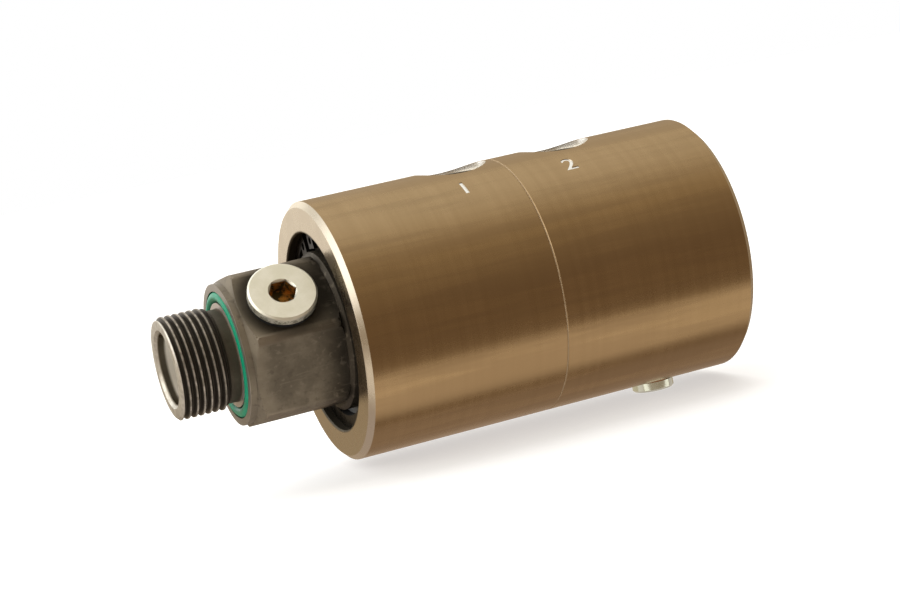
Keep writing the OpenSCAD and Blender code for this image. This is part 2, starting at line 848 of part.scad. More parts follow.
module rear_cover() {
    edge = small_edge;
    ring_half_w = cover_ring_w / 2 + groove_gap;
    color("#8f8b83")
        turned(concat(
            [
                [cover_x, 0],
                [cover_x, cover_r - cover_rim_t],
                [cover_rim_x, cover_r - cover_rim_t],
                [cover_rim_x, cover_r - edge],
                [cover_rim_x + edge, cover_r]
            ],
            groove(cover_ring_x - ring_half_w, cover_ring_x + ring_half_w, cover_r,
                cover_ring_r - cover_ring_w / 2 - seat_gap),
            [
                [rear_ring_x, cover_r],
                [rear_ring_x, 0]
            ]
        ));
}

module rear_cover_o_ring() {
    color("#1c1c1c")
        round_ring(cover_ring_x, cover_ring_r, cover_ring_w);
}

housing();
rotor();
face_o_ring();
rotor_plug();
rotor_plug_seal();
front_circlip();
front_shaft_seal();
seal_garter_spring();
front_bearing_outer_ring();
front_bearing_inner_ring();
front_bearing_balls();
front_bearing_cage();
pressure_seal_1();
pressure_seal_2();
pressure_seal_3();
seal_energiser_1();
seal_energiser_2();
seal_energiser_3();
rear_bearing_outer_ring();
rear_bearing_inner_ring();
rear_bearing_balls();
rear_bearing_cage();
shaft_circlip();
gallery_plug();
leak_gallery_plug();
rear_cover();
rear_cover_o_ring();
rear_circlip();
leak_plug();
leak_plug_seal();
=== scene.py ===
import json
import math

import bpy
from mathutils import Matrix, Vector


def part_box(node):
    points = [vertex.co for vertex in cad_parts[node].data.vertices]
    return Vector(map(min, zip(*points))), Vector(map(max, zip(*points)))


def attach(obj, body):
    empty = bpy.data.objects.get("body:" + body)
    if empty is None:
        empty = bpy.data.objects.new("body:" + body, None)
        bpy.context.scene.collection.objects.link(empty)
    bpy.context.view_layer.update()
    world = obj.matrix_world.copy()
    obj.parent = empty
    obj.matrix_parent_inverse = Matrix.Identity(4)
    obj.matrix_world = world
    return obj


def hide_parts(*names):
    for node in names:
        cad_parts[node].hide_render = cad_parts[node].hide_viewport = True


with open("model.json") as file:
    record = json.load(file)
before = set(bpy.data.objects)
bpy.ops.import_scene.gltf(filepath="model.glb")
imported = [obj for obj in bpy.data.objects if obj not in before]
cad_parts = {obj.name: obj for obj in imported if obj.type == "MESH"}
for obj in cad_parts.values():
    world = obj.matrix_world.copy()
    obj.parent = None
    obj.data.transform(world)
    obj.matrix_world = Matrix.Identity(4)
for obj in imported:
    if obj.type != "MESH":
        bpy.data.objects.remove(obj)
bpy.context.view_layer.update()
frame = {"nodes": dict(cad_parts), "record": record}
nodes = frame["nodes"]

MM = 0.001


def middle_x(node):
    """The middle of a CAD node along the rotor axis."""
    low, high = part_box(node)
    return (low.x + high.x) / 2


def mount(name):
    """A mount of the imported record."""
    return next(m for m in frame["record"]["mounts"] if m["name"] == name)


# Places and sizes read from the frame
HOUSING_LOW, HOUSING_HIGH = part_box("housing")
FRONT_X = HOUSING_LOW.x
REAR_X = HOUSING_HIGH.x
MIDDLE_X = middle_x("housing")
HOUSING_R = HOUSING_HIGH.z
SPIGOT_TIP_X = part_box("rotor")[0].x
SIDE_PLUG_X = middle_x("rotor_plug")
LEAK_PLUG_X = middle_x("leak_plug")
FLOOR_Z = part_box("leak_plug")[0].z
THREAD_R = mount("rotor_thread")["dims"]["r_mm"] * MM
SPIGOT_BORE_R = mount("rotor_passage")["dims"]["r_mm"] * MM
PORT_CORE_R = mount("port_1")["dims"]["r_mm"] * MM
PORT_X = [mount(name)["pos_m"][0] for name in ("port_1", "port_2")]
PORT_THREAD_TOP_Z = mount("port_1")["pos_m"][2]

# Sizes of the part's source that the frame doesn't tell
FRONT_CHAMFER = 1.7 * MM
REAR_CHAMFER = 1.9 * MM
SEAT_R = 32.5 * MM
PORT_MOUTH_R = 8.9 * MM
TIP_CHAMFER = 1 * MM
RELIEF_W = 3.6 * MM
RELIEF_R = THREAD_R - 1.5 * MM
SEAL_GROOVE_IN_R = 16.95 * MM
HEX_ROUND_R = 26.5 * MM
HEX_FLAT_R = 23.5 * MM
SIDE_PLUG_TOP_R = HEX_FLAT_R + 4.3 * MM
SIDE_PLUG_TURN = 50
LEAK_PLUG_TURN = 180

# Pipe threads, V-shaped at 55 degrees: pitch, depth from crest to root, width at the root, turns
FLANK_SLOPE = math.tan(math.radians(27.5))
SPIGOT_PITCH = 2.309 * MM
SPIGOT_THREAD_DEPTH = 1.479 * MM
SPIGOT_ROOT_W = 0.36 * MM
SPIGOT_TURNS = 8
PORT_PITCH = 1.337 * MM
PORT_THREAD_DEPTH = 0.856 * MM
PORT_ROOT_W = 0.2 * MM
PORT_TURNS = 7

# How far before the tip the spigot's thread starts, and how deep in the ports theirs start
SPIGOT_THREAD_LEAD = 1.54 * MM
PORT_THREAD_REACH = 8.4 * MM

# How far wear rounds the hexagon's long edges
HEX_EDGE_WEAR = 0.7 * MM

# The numerals beside the ports: height, extra width of the strokes, depth, place along the
# housing from the port, and turn from straight up towards the camera
NUMERAL_H = 6.4 * MM
NUMERAL_BOLD = 0.14 * MM
NUMERAL_DEPTH = 0.3 * MM
NUMERAL_SHIFT = -4.3 * MM
NUMERAL_TURN = 31

# Middle of the floor and of the strips of light below it
STUDIO_X = MIDDLE_X * 0.8


class Wire:
    """A node's output that takes part in Python expressions."""

    def __init__(self, tree, socket):
        self.tree = tree
        self.socket = socket

    def __add__(self, other):
        return self.tree.math("ADD", self, other)

    __radd__ = __add__

    def __sub__(self, other):
        return self.tree.math("SUBTRACT", self, other)

    def __rsub__(self, other):
        return self.tree.math("SUBTRACT", other, self)

    def __mul__(self, other):
        return self.tree.math("MULTIPLY", self, other)

    __rmul__ = __mul__


class Tree:
    """A node tree, written as expressions."""

    def __init__(self, owner):
        self.nodes = owner.node_tree.nodes
        self.links = owner.node_tree.links

    def add(self, kind, settings=None, inputs=None, outlet=0):
        """Adds a node, sets its settings first, then its inputs, and returns one output."""
        node = self.nodes.new(kind)
        for name, setting in (settings or {}).items():
            setattr(node, name, setting)
        self.feed(node, inputs or {})
        return Wire(self, node.outputs[outlet])

    def feed(self, node, inputs):
        """Gives each named or numbered input of a node its wire or value."""
        for name, given in inputs.items():
            self.give(node.inputs[name], given)

    def give(self, socket, given):
        """Links a wire to a socket, or sets the socket's own value."""
        if isinstance(given, Wire):
            self.links.new(given.socket, socket)
        elif isinstance(given, tuple) and len(socket.default_value) > len(given):
            socket.default_value = (*given, 1.0)
        else:
            socket.default_value = given

    def math(self, operation, *given):
        """One Math node on wires and numbers."""
        return self.add("ShaderNodeMath", {"operation": operation}, dict(enumerate(given)))

    def distance(self, first, second):
        """How far a point is from the line where both wires are 0."""
        return self.math("SQRT", first * first + second * second)

    def place(self, shift=(0.0, 0.0, 0.0), turn=0.0, scale=(1.0, 1.0, 1.0)):
        """Object coordinates in metres, shifted, turned about the rotor axis and stretched."""
        coordinates = self.add("ShaderNodeTexCoord", outlet="Object")
        moved = self.add("ShaderNodeMapping", {"vector_type": "POINT"}, {
            "Vector": coordinates,
            "Location": tuple(-amount for amount in shift),
        })
        return self.add("ShaderNodeMapping", {"vector_type": "POINT"}, {
            "Vector": moved,
            "Rotation": (math.radians(-turn), 0.0, 0.0),
            "Scale": scale,
        })

    def parts(self, vector):
        """The three numbers of a vector."""
        split = self.add("ShaderNodeSeparateXYZ", inputs={0: vector})
        outputs = split.socket.node.outputs
        return [Wire(self, outputs[i]) for i in range(3)]

    def vector(self, x, y, z):
        return self.add("ShaderNodeCombineXYZ", inputs={0: x, 1: y, 2: z})

    def noise(self, vector, scale, detail=3.0, rough=0.5):
        inputs = {"Vector": vector, "Scale": scale, "Detail": detail, "Roughness": rough}
        return self.add("ShaderNodeTexNoise", inputs=inputs)

    def step(self, wire, low, high, to_low=0.0, to_high=1.0):
        """Goes smoothly from to_low to to_high while wire goes from low to high, which may be less."""
        if low > high:
            low, high, to_low, to_high = high, low, to_high, to_low
        return self.add("ShaderNodeMapRange", {"interpolation_type": "SMOOTHSTEP"}, {
            "Value": wire,
            "From Min": low,
            "From Max": high,
            "To Min": to_low,
            "To Max": to_high,
        })

    def within(self, wire, low, high, edge):
        """1 between low and high, and 0 outside, with soft edges."""
        return self.step(wire, low - edge, low) * self.step(wire, high + edge, high)

    def mix(self, factor, first, second):
        """Mixes two colours."""
        settings = {"data_type": "RGBA", "clamp_factor": True}
        return self.add("ShaderNodeMix", settings, {0: factor, 6: first, 7: second}, outlet=2)

    def bump(self, height, distance):
        inputs = {"Height": height, "Strength": 1.0, "Distance": distance}
        return self.add("ShaderNodeBump", inputs=inputs)


def new_finish(name):
    """A material with one Principled shader, and its tree to write on."""
    material = bpy.data.materials.new(name)
    material.use_nodes = True
    return material, Tree(material), material.node_tree.nodes["Principled BSDF"]


def rotor_axis(tree):
    """Place along the rotor axis, and distance from it."""
    x, y, z = tree.parts(tree.place())
    return x, tree.distance(y, z)


def plug_axis(tree, plug_x, turn):
    """Distance from a plug's own axis, and height along it."""
    away_x, away_y, height = tree.parts(tree.place(shift=(plug_x, 0.0, 0.0), turn=turn))
    return tree.distance(away_x, away_y), height


def turning_lines(tree, x, radius):
    """Where the lines of the lathe lie: along x on the cylinder, outwards on its end faces."""
    half_band = 0.15 * MM
    on_front = tree.within(x, FRONT_X - half_band, FRONT_X + half_band, 0.1 * MM)
    on_rear = tree.within(x, REAR_X - half_band, REAR_X + half_band, 0.1 * MM)
    return x + radius * (on_front + on_rear)


def port_holes(tree, tone, x, y, z):
    """Paints shade into both ports below the edges of their mouths."""
    upper_side = tree.step(z, HOUSING_R - 12 * MM, HOUSING_R - 11 * MM)
    for port_x in PORT_X:
        from_port = tree.distance(x - port_x, y)
        # Painted shade: the inside of each port is given a dark tone.
        hole = tree.step(from_port, PORT_MOUTH_R + 0.05 * MM, PORT_MOUTH_R - 0.05 * MM)
        tone = tree.mix(hole * upper_side, tone, (0.09, 0.075, 0.055))
    return tone


def burnished_steel():
    """Brown burnished steel with very fine even lines, and bright metal where it was cut after. The end
    faces carry a painted sheen and the outer chamfer a painted highlight; the ports and the recess are
    darkened with painted shade.
    """
    material, tree, shader = new_finish("burnished_steel")
    x, y, z = tree.parts(tree.place())
    radius = tree.distance(y, z)
    line = turning_lines(tree, x, radius)
    drift_y, drift_z = y * 0.03, z * 0.03
    fine = tree.noise(tree.vector(line, drift_y, drift_z), 4200.0, 2.0, 0.6)
    broad = tree.noise(tree.vector(line, drift_y * 0.3, drift_z * 0.3), 260.0, 3.0, 0.6)
    clouds = tree.noise(tree.place(), 30.0, 3.0, 0.55)
    smears = tree.noise(tree.place(scale=(0.07, 1.0, 1.0)), 130.0, 4.0, 0.6)
    tone = tree.mix(tree.step(broad, 0.3, 0.7), (0.36, 0.25, 0.136), (0.395, 0.278, 0.154))
    tone = tree.mix(tree.step(clouds, 0.35, 0.75) * 0.4, tone, (0.33, 0.23, 0.12))
    tone = tree.mix(tree.step(smears, 0.4, 0.62) * 0.55, tone, (0.28, 0.192, 0.108))
    fade = 0.1 * MM
    front_in, rear_in = FRONT_X + FRONT_CHAMFER, REAR_X - REAR_CHAMFER
    # Painted sheen: the end faces are given a paler tone for the light they mirror.
    ends = tree.step(x, front_in + fade, front_in - fade) + tree.step(x, rear_in - fade, rear_in + fade)
    tone = tree.mix(ends, tone, (0.46, 0.395, 0.31))
    # Painted highlight: the outer chamfer is given a bright cream tone for the light it catches.
    face_r = HOUSING_R - FRONT_CHAMFER
    chamfer_highlight = tree.step(radius, face_r - fade, face_r + fade) * ends
    tone = tree.mix(chamfer_highlight, tone, (0.58, 0.52, 0.43))
    scribed = tree.within(x, MIDDLE_X - 1 * MM, MIDDLE_X + 1 * MM, fade)
    cut = tree.step(radius, HOUSING_R - 0.1 * MM, HOUSING_R - 0.18 * MM)
    cut = cut * tree.within(x, FRONT_X + 3 * MM, REAR_X - 3 * MM, 0.5 * MM)
    tone = tree.mix(cut, tone, tree.mix(scribed, (0.88, 0.88, 0.86), (0.4, 0.3, 0.19)))
    tone = port_holes(tree, tone, x, y, z)
    # Painted shade: the walls of the recess are given a near-black tone.
    inside = tree.step(radius, SEAT_R + 1 * MM, SEAT_R + 0.2 * MM)
    tone = tree.mix(inside, tone, (0.08, 0.07, 0.055))
    rough = tree.step(smears, 0.35, 0.65, 0.24, 0.29) + tree.step(broad, 0.3, 0.7, 0.0, 0.02)
    tree.feed(shader, {
        "Base Color": tone,
        "Metallic": 1.0 - cut * scribed * 0.75,
        "Specular Tint": (0.85, 0.79, 0.7),
        "Roughness": rough + inside * 0.25 + cut * scribed * 0.4,
        "Normal": tree.bump(fine, 0.028 * MM),
    })
    return material


def coat_and_shade(tree, x, clouds, specks):
    """The rotor's clouded coat, pale near the shoulder, with painted shade near the recess and round
    the side plug.
    """
    tone = tree.mix(tree.step(clouds, 0.36, 0.64), (0.1, 0.085, 0.064), (0.188, 0.161, 0.122))
    near_shoulder = tree.step(x, 9 * MM, 3 * MM)
    tone = tree.mix(near_shoulder * 0.35, tone, (0.26, 0.225, 0.17))
    # Painted shade: the hexagon darkens towards the recess.
    near_recess = tree.step(x, 19 * MM, FRONT_X)
    tone = tree.mix(near_recess * 0.8, tone, (0.018, 0.015, 0.011))
    scratches = tree.noise(tree.place(scale=(0.08, 1.0, 1.0)), 1500.0, 3.0, 0.6)
    tone = tree.mix(tree.step(scratches, 0.56, 0.75) * 0.22, tone, (0.23, 0.2, 0.155))
    tone = tree.mix(tree.step(specks, 0.56, 0.72) * 0.4, tone, (0.21, 0.18, 0.14))
    tone = tree.mix(tree.step(specks, 0.44, 0.3) * 0.4, tone, (0.06, 0.05, 0.038))
    # Painted shade: the flat round the side plug is darkened.
    from_plug, height = plug_axis(tree, SIDE_PLUG_X, SIDE_PLUG_TURN)
    plug_shade = tree.step(from_plug, 17 * MM, 12 * MM)
    plug_shade = plug_shade * tree.step(height, HEX_FLAT_R - 1.5 * MM, HEX_FLAT_R - 0.5 * MM)
    return tree.mix(plug_shade * 0.85, tone, (0.012, 0.01, 0.007))


def worn_corners(tree, x, radius):
    """Where the hexagon's turned corners are rubbed, most towards the shoulder."""
    corners = tree.step(radius, HEX_ROUND_R - 0.5 * MM, HEX_ROUND_R - 0.1 * MM)
    corners = corners * tree.within(x, 2 * MM, FRONT_X - 2 * MM, 1 * MM)
    return corners * tree.step(x, 20 * MM, 7 * MM, 0.3, 1.0)


def thread_tone(tree, x, radius, rubbed):
    """Grooves in painted shade and rubbed crests, with painted shade on the crests towards the relief.
    """
    crest = tree.mix(rubbed, (0.2, 0.18, 0.15), (0.4, 0.36, 0.31))
    # Painted shade: the crests darken towards the relief.
    crest = tree.mix(tree.step(x, -11 * MM, -RELIEF_W) * 0.6, crest, (0.13, 0.115, 0.095))
    root_r = THREAD_R - SPIGOT_THREAD_DEPTH
    near_crest = tree.step(radius, root_r + 1.05 * MM, THREAD_R - 0.02 * MM)
    # Painted shade: the grooves are given a near-black tone.
    return tree.mix(near_crest, (0.042, 0.035, 0.028), crest)


def phosphated_steel():
    """Dark grey-brown coated steel: lighter on its edges, sealing faces and thread crests, with painted
    shade in the grooves, the relief, near the recess and round the side plug, and painted light and
    shade in the bore.
    """
    material, tree, shader = new_finish("phosphated_steel")
    x, radius = rotor_axis(tree)
    grain = tree.noise(tree.place(), 2600.0, 4.0, 0.65)
    milling = tree.noise(tree.place(scale=(1.0, 0.12, 0.12)), 900.0, 3.0, 0.6)
    clouds = tree.noise(tree.place(), 70.0, 4.0, 0.6)
    specks = tree.noise(tree.place(), 420.0, 3.0, 0.6)
    rubbed = tree.step(specks, 0.35, 0.65)
    tone = coat_and_shade(tree, x, clouds, specks)
    corners = worn_corners(tree, x, radius)
    tone = tree.mix(corners * 0.35, tone, (0.32, 0.28, 0.23))
    shoulder = tree.within(x, -0.1 * MM, 0.1 * MM, 0.1 * MM)
    shoulder = shoulder * tree.step(radius, RELIEF_R, RELIEF_R + 0.3 * MM)
    inner_land = tree.step(radius, SEAL_GROOVE_IN_R + 0.2 * MM, SEAL_GROOVE_IN_R)
    land = tree.mix(inner_land, (0.36, 0.33, 0.29), (0.66, 0.6, 0.54))
    tone = tree.mix(shoulder * 0.9, tone, land)
    tip = tree.step(x, SPIGOT_TIP_X + 1.1 * MM, SPIGOT_TIP_X + 0.6 * MM)
    dents = tree.mix(rubbed, (0.5, 0.47, 0.41), (0.66, 0.63, 0.56))
    tone = tree.mix(tip * 0.9, tone, dents)
    outside = tree.step(radius, SPIGOT_BORE_R + 1 * MM, SPIGOT_BORE_R + 2 * MM)
    # Painted shade: the relief groove is given a near-black tone.
    relief = tree.within(x, -RELIEF_W, -0.3 * MM, 0.2 * MM) * outside
    tone = tree.mix(relief * 0.7, tone, (0.03, 0.026, 0.02))
    thread = tree.within(x, SPIGOT_TIP_X + TIP_CHAMFER, -RELIEF_W, 0.4 * MM) * outside
    tone = tree.mix(thread, tone, thread_tone(tree, x, radius, rubbed))
    # Painted light and shade: the bore is dark near its mouth and deep in, and a pale, less metallic
    # band between stands for the light falling in.
    bore = tree.step(radius, SPIGOT_BORE_R + 0.3 * MM, SPIGOT_BORE_R + 0.1 * MM)
    lit_band = tree.step(x, SPIGOT_TIP_X + 2.6 * MM, SPIGOT_TIP_X + 3.8 * MM)
    lit_band = lit_band * tree.step(x, SPIGOT_TIP_X + 20 * MM, SPIGOT_TIP_X + 9 * MM)
    tone = tree.mix(bore, tone, tree.mix(lit_band, (0.13, 0.115, 0.09), (0.74, 0.7, 0.62)))
    worn = tree.math("MINIMUM", corners * 0.5 + shoulder * 0.5 + tip * 0.5 + bore, 1.0)
    tree.feed(shader, {
        "Base Color": tone,
        "Metallic": worn * 0.45 + 0.55 - bore * lit_band * 0.7,
        "Roughness": tree.step(clouds, 0.3, 0.7, 0.38, 0.5) - worn * 0.12,
        "Specular Tint": (0.5, 0.46, 0.42),
        "Normal": tree.bump(grain * 0.6 + milling * 0.4, 0.02 * MM),
    })
    return material


def plug_rings(tree, distance, height, depth):
    """Fine turned rings about a plug's own axis."""
    rings = tree.noise(tree.vector(distance, height, 0.0), 2400.0, 3.0, 0.6)
    return tree.bump(rings, depth)


def used_plug(tree, tone, distance, height):
    """Rusty stains in the side plug's socket, and scuffs below the edge of its head."""
    socket = tree.step(distance, 5.2 * MM, 4.4 * MM)
    socket = socket * tree.step(height, SIDE_PLUG_TOP_R - 0.6 * MM, SIDE_PLUG_TOP_R - 1.2 * MM)
    stains = tree.noise(tree.place(), 420.0, 3.0, 0.6)
    stained = tree.mix(tree.step(stains, 0.42, 0.6), (0.5, 0.24, 0.05), (0.07, 0.06, 0.02))
    tone = tree.mix(socket, tone, stained)
    rim = tree.step(height, SIDE_PLUG_TOP_R - 0.9 * MM, SIDE_PLUG_TOP_R - 1.6 * MM)
    scuffs = tree.noise(tree.place(), 520.0, 4.0, 0.7)
    scuffed = rim * tree.step(scuffs, 0.45, 0.6) * (1.0 - socket)
    return tree.mix(scuffed * 0.7, tone, (0.2, 0.19, 0.14))


def side_plug_plate():
    """Pale yellowish plating, dull and stained."""
    material, tree, shader = new_finish("zinc_plate")
    distance, height = plug_axis(tree, SIDE_PLUG_X, SIDE_PLUG_TURN)
    clouds = tree.noise(tree.place(), 160.0, 4.0, 0.6)
    tone = tree.mix(tree.step(clouds, 0.3, 0.7), (0.74, 0.73, 0.62), (0.84, 0.83, 0.74))
    tree.feed(shader, {
        "Base Color": used_plug(tree, tone, distance, height),
        "Metallic": 0.85,
        "Roughness": tree.step(clouds, 0.3, 0.7, 0.36, 0.46),
        "Normal": plug_rings(tree, distance, height, 0.012 * MM),
    })
    return material


def leak_plug_plate():
    """Bright glossy plating with a greenish tint."""
    material, tree, shader = new_finish("leak_plug_plate")
    distance, height = plug_axis(tree, LEAK_PLUG_X, LEAK_PLUG_TURN)
    clouds = tree.noise(tree.place(), 160.0, 4.0, 0.6)
    tree.feed(shader, {
        "Base Color": tree.mix(tree.step(clouds, 0.3, 0.7), (0.74, 0.82, 0.76), (0.84, 0.93, 0.88)),
        "Metallic": 1.0,
        "Roughness": tree.step(clouds, 0.3, 0.7, 0.08, 0.14),
        "Normal": plug_rings(tree, distance, height, 0.003 * MM),
    })
    return material


def turned_steel(name, colour, roughness):
    """Bare steel from the lathe, with lines round the rotor axis."""
    material, tree, shader = new_finish(name)
    x, radius = rotor_axis(tree)
    fine = tree.noise(tree.vector(x, radius, 0.0), 3200.0, 3.0, 0.6)
    clouds = tree.noise(tree.place(), 60.0, 4.0, 0.6)
    dark = tuple(channel * 0.82 for channel in colour)
    tree.feed(shader, {
        "Base Color": tree.mix(tree.step(clouds, 0.3, 0.7), dark, colour),
        "Metallic": 1.0,
        "Roughness": tree.step(clouds, 0.3, 0.7, roughness * 0.85, roughness * 1.15),
        "Normal": tree.bump(fine, 0.02 * MM),
    })
    return material


def moulded_rubber(name, colour, roughness, gloss=0.5):
    """Smooth rubber or plastic with a faint grain, a little dust and uneven sheen."""
    material, tree, shader = new_finish(name)
    grain = tree.noise(tree.place(), 1800.0, 3.0, 0.6)
    clouds = tree.noise(tree.place(), 140.0, 3.0, 0.6)
    light = tuple(min(1.0, channel * 1.25 + 0.004) for channel in colour)
    tree.feed(shader, {
        "Specular IOR Level": gloss,
        "Base Color": tree.mix(tree.step(clouds, 0.3, 0.75), colour, light),
        "Roughness": tree.step(clouds, 0.3, 0.7, roughness * 0.8, roughness * 1.2),
        "Normal": tree.bump(grain, 0.006 * MM),
    })
    return material


def plain_metal(name, colour, roughness, grain=0.006 * MM, edge=1.0):
    """Metal with a fine even grain and slight clouds. A low edge dulls what it mirrors aslant."""
    material, tree, shader = new_finish(name)
    texture = tree.noise(tree.place(), 1500.0, 3.0, 0.6)
    clouds = tree.noise(tree.place(), 160.0, 3.0, 0.6)
    dark = tuple(channel * 0.8 for channel in colour)
    tree.feed(shader, {
        "Specular Tint": (edge, edge, edge),
        "Base Color": tree.mix(tree.step(clouds, 0.3, 0.7), dark, colour),
        "Metallic": 1.0,
        "Roughness": tree.step(clouds, 0.3, 0.7, roughness * 0.8, roughness * 1.2),
        "Normal": tree.bump(texture, grain),
    })
    return material


finishes = {
    "burnished_steel": burnished_steel(),
    "phosphated_steel": phosphated_steel(),
    "green_rubber": moulded_rubber("green_rubber", (0.0, 0.2, 0.105), 0.4, 0.2),
    "zinc_plate": side_plug_plate(),
    "black_rubber": moulded_rubber("black_rubber", (0.012, 0.012, 0.012), 0.34, 0.3),
    "spring_steel": plain_metal("spring_steel", (0.1, 0.09, 0.08), 0.3, edge=0.5),
    "spring_wire": plain_metal("spring_wire", (0.5, 0.5, 0.5), 0.28),
    "bearing_steel": plain_metal("bearing_steel", (0.62, 0.62, 0.62), 0.14, 0.001 * MM),
    "cage_brass": plain_metal("cage_brass", (0.65, 0.45, 0.18), 0.3),
    "seal_plastic": moulded_rubber("seal_plastic", (0.3, 0.22, 0.1), 0.5),
    "plain_steel": turned_steel("plain_steel", (0.45, 0.43, 0.4), 0.32),
    "soft_copper": plain_metal("soft_copper", (0.7, 0.36, 0.2), 0.35),
}


def dress(piece, finish):
    """Gives a piece one material all over."""
    piece.data.materials.clear()
    piece.data.materials.append(finish)


for part in frame["record"]["subparts"]:
    dress(nodes[part["node"]], finishes[part["material_slot"]])
dress(nodes["leak_plug"], leak_plug_plate())


def select_only(piece):
    bpy.ops.object.select_all(action="DESELECT")
    piece.select_set(True)
    bpy.context.view_layer.objects.active = piece


def settle(piece):
    """Puts the object at the origin, with its place in its mesh."""
    select_only(piece)
    bpy.ops.object.transform_apply(location=True, rotation=True, scale=True)


def apply_modifiers(piece):
    select_only(piece)
    for modifier in list(piece.modifiers):
        bpy.ops.object.modifier_apply(modifier=modifier.name)


def merge_points(piece, distance):
    """Merges the points of a mesh that lie closer than distance."""
    select_only(piece)
    bpy.ops.object.mode_set(mode="EDIT")
    bpy.ops.mesh.select_all(action="SELECT")
    bpy.ops.mesh.remove_doubles(threshold=distance)
    bpy.ops.object.mode_set(mode="OBJECT")


def face_outwards(piece):
    """Turns the faces of a closed mesh outwards."""
    select_only(piece)
    bpy.ops.object.mode_set(mode="EDIT")
    bpy.ops.mesh.select_all(action="SELECT")
    bpy.ops.mesh.normals_make_consistent(inside=False)
    bpy.ops.object.mode_set(mode="OBJECT")


def working_copy(node, name):
    """A merged copy of a CAD node's mesh, to cut further."""
    piece = nodes[node].copy()
    piece.data = nodes[node].data.copy()
    piece.name = name
    bpy.context.scene.collection.objects.link(piece)
    merge_points(piece, 0.0005 * MM)
    if piece.data.has_custom_normals:
        bpy.ops.mesh.customdata_custom_splitnormals_clear()
    return piece


def thread_section(name, wide_r, tip_r, root_w):
    """The V that a thread cutter is wound from, upright above the X axis, with a rounded tip."""
    height = abs(wide_r - tip_r)
    wide_w = root_w + 2 * height * FLANK_SLOPE
    bpy.ops.object.select_all(action="DESELECT")
    bpy.ops.mesh.primitive_plane_add(size=1, rotation=(math.radians(90), 0, 0))
    section = bpy.context.object
    section.name = name
    settle(section)
    section.scale = (wide_w, 1, height)
    section.location = (0, 0, (wide_r + tip_r) / 2)
    settle(section)
    mesh = section.data
    for vertex in mesh.vertices:
        vertex.select = abs(vertex.co.z - tip_r) < 0.01 * MM
    for edge in mesh.edges:
        edge.select = all(mesh.vertices[i].select for i in edge.vertices)
    for face in mesh.polygons:
        face.select = False
    bpy.ops.object.mode_set(mode="EDIT")
    bpy.ops.mesh.select_mode(type="VERT")
    bpy.ops.transform.resize(value=(root_w / wide_w, 1, 1))
    bpy.ops.mesh.bevel(offset=root_w * 0.35, segments=2, affect="VERTICES")
    bpy.ops.object.mode_set(mode="OBJECT")
    return section


def thread_cutter(name, wide_r, tip_r, root_w, pitch, turns, steps):
    """A V-shaped bar wound round the X axis as a right-hand thread, wide at wide_r."""
    cutter = thread_section(name, wide_r, tip_r, root_w)
    winding = cutter.modifiers.new("winding", "SCREW")
    winding.axis = "X"
    winding.screw_offset = pitch
    winding.iterations = turns
    winding.steps = steps
    winding.render_steps = steps
    apply_modifiers(cutter)
    merge_points(cutter, 0.0005 * MM)
    bpy.ops.object.mode_set(mode="EDIT")
    bpy.ops.mesh.select_all(action="DESELECT")
    bpy.ops.mesh.select_mode(type="EDGE")
    bpy.ops.mesh.select_non_manifold()
    bpy.ops.mesh.edge_face_add()
    bpy.ops.object.mode_set(mode="OBJECT")
    face_outwards(cutter)
    return cutter


def cut_away(piece, cutters):
    """Cuts each closed cutter out of the piece, removes it, and clears slivers of no area."""
    for cutter in cutters:
        cut = piece.modifiers.new("cut", "BOOLEAN")
        cut.operation = "DIFFERENCE"
        cut.solver = "EXACT"
        cut.object = cutter
        apply_modifiers(piece)
        bpy.data.objects.remove(cutter)
    sliver = 0.001 * MM
    merge_points(piece, sliver)
    bpy.ops.object.mode_set(mode="EDIT")
    bpy.ops.mesh.select_all(action="SELECT")
    bpy.ops.mesh.quads_convert_to_tris()
    bpy.ops.mesh.dissolve_degenerate(threshold=sliver)
    bpy.ops.object.mode_set(mode="OBJECT")


def corner_normals(face, mesh):
    """True normals at the corners of a facet of a surface turned about X, or None for another."""
    normal = face.normal
    across = math.hypot(normal.y, normal.z)
    if across < 0.01:
        return [normal] * len(face.vertices)
    corners = [mesh.vertices[i].co for i in face.vertices]
    radii = [math.hypot(corner.y, corner.z) for corner in corners]
    rays = [(corner.y / radius, corner.z / radius) for corner, radius in zip(corners, radii)]
    outwards = [(normal.y * y + normal.z * z) / across for y, z in rays]
    if min(abs(share) for share in outwards) < math.cos(math.radians(5.5)):
        return None
    slope = math.copysign(across, outwards[0])
    levels = [normal.x * corner.x + slope * radius for corner, radius in zip(corners, radii)]
    if max(levels) - min(levels) > 0.08 * MM:
        return None
    return [Vector((normal.x, slope * y, slope * z)) for y, z in rays]


def round_off_shading(piece):
    """Gives every turned surface its true normals, so that no facet shows in its gloss."""
    mesh = piece.data
    normals = [corner.vector.copy() for corner in mesh.corner_normals]
    for face in mesh.polygons:
        true_normals = corner_normals(face, mesh)
        if true_normals:
            for corner, normal in zip(face.loop_indices, true_normals):
                normals[corner] = normal
    mesh.normals_split_custom_set(normals)


def finish_piece(piece, node, slot, body, crease):
    """Shades and dresses a piece that stands for a CAD node. Edges over crease degrees stay sharp."""
    select_only(piece)
    bpy.ops.object.shade_smooth_by_angle(angle=math.radians(crease))
    round_off_shading(piece)
    dress(piece, finishes[slot])
    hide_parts(node)
    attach(piece, body)


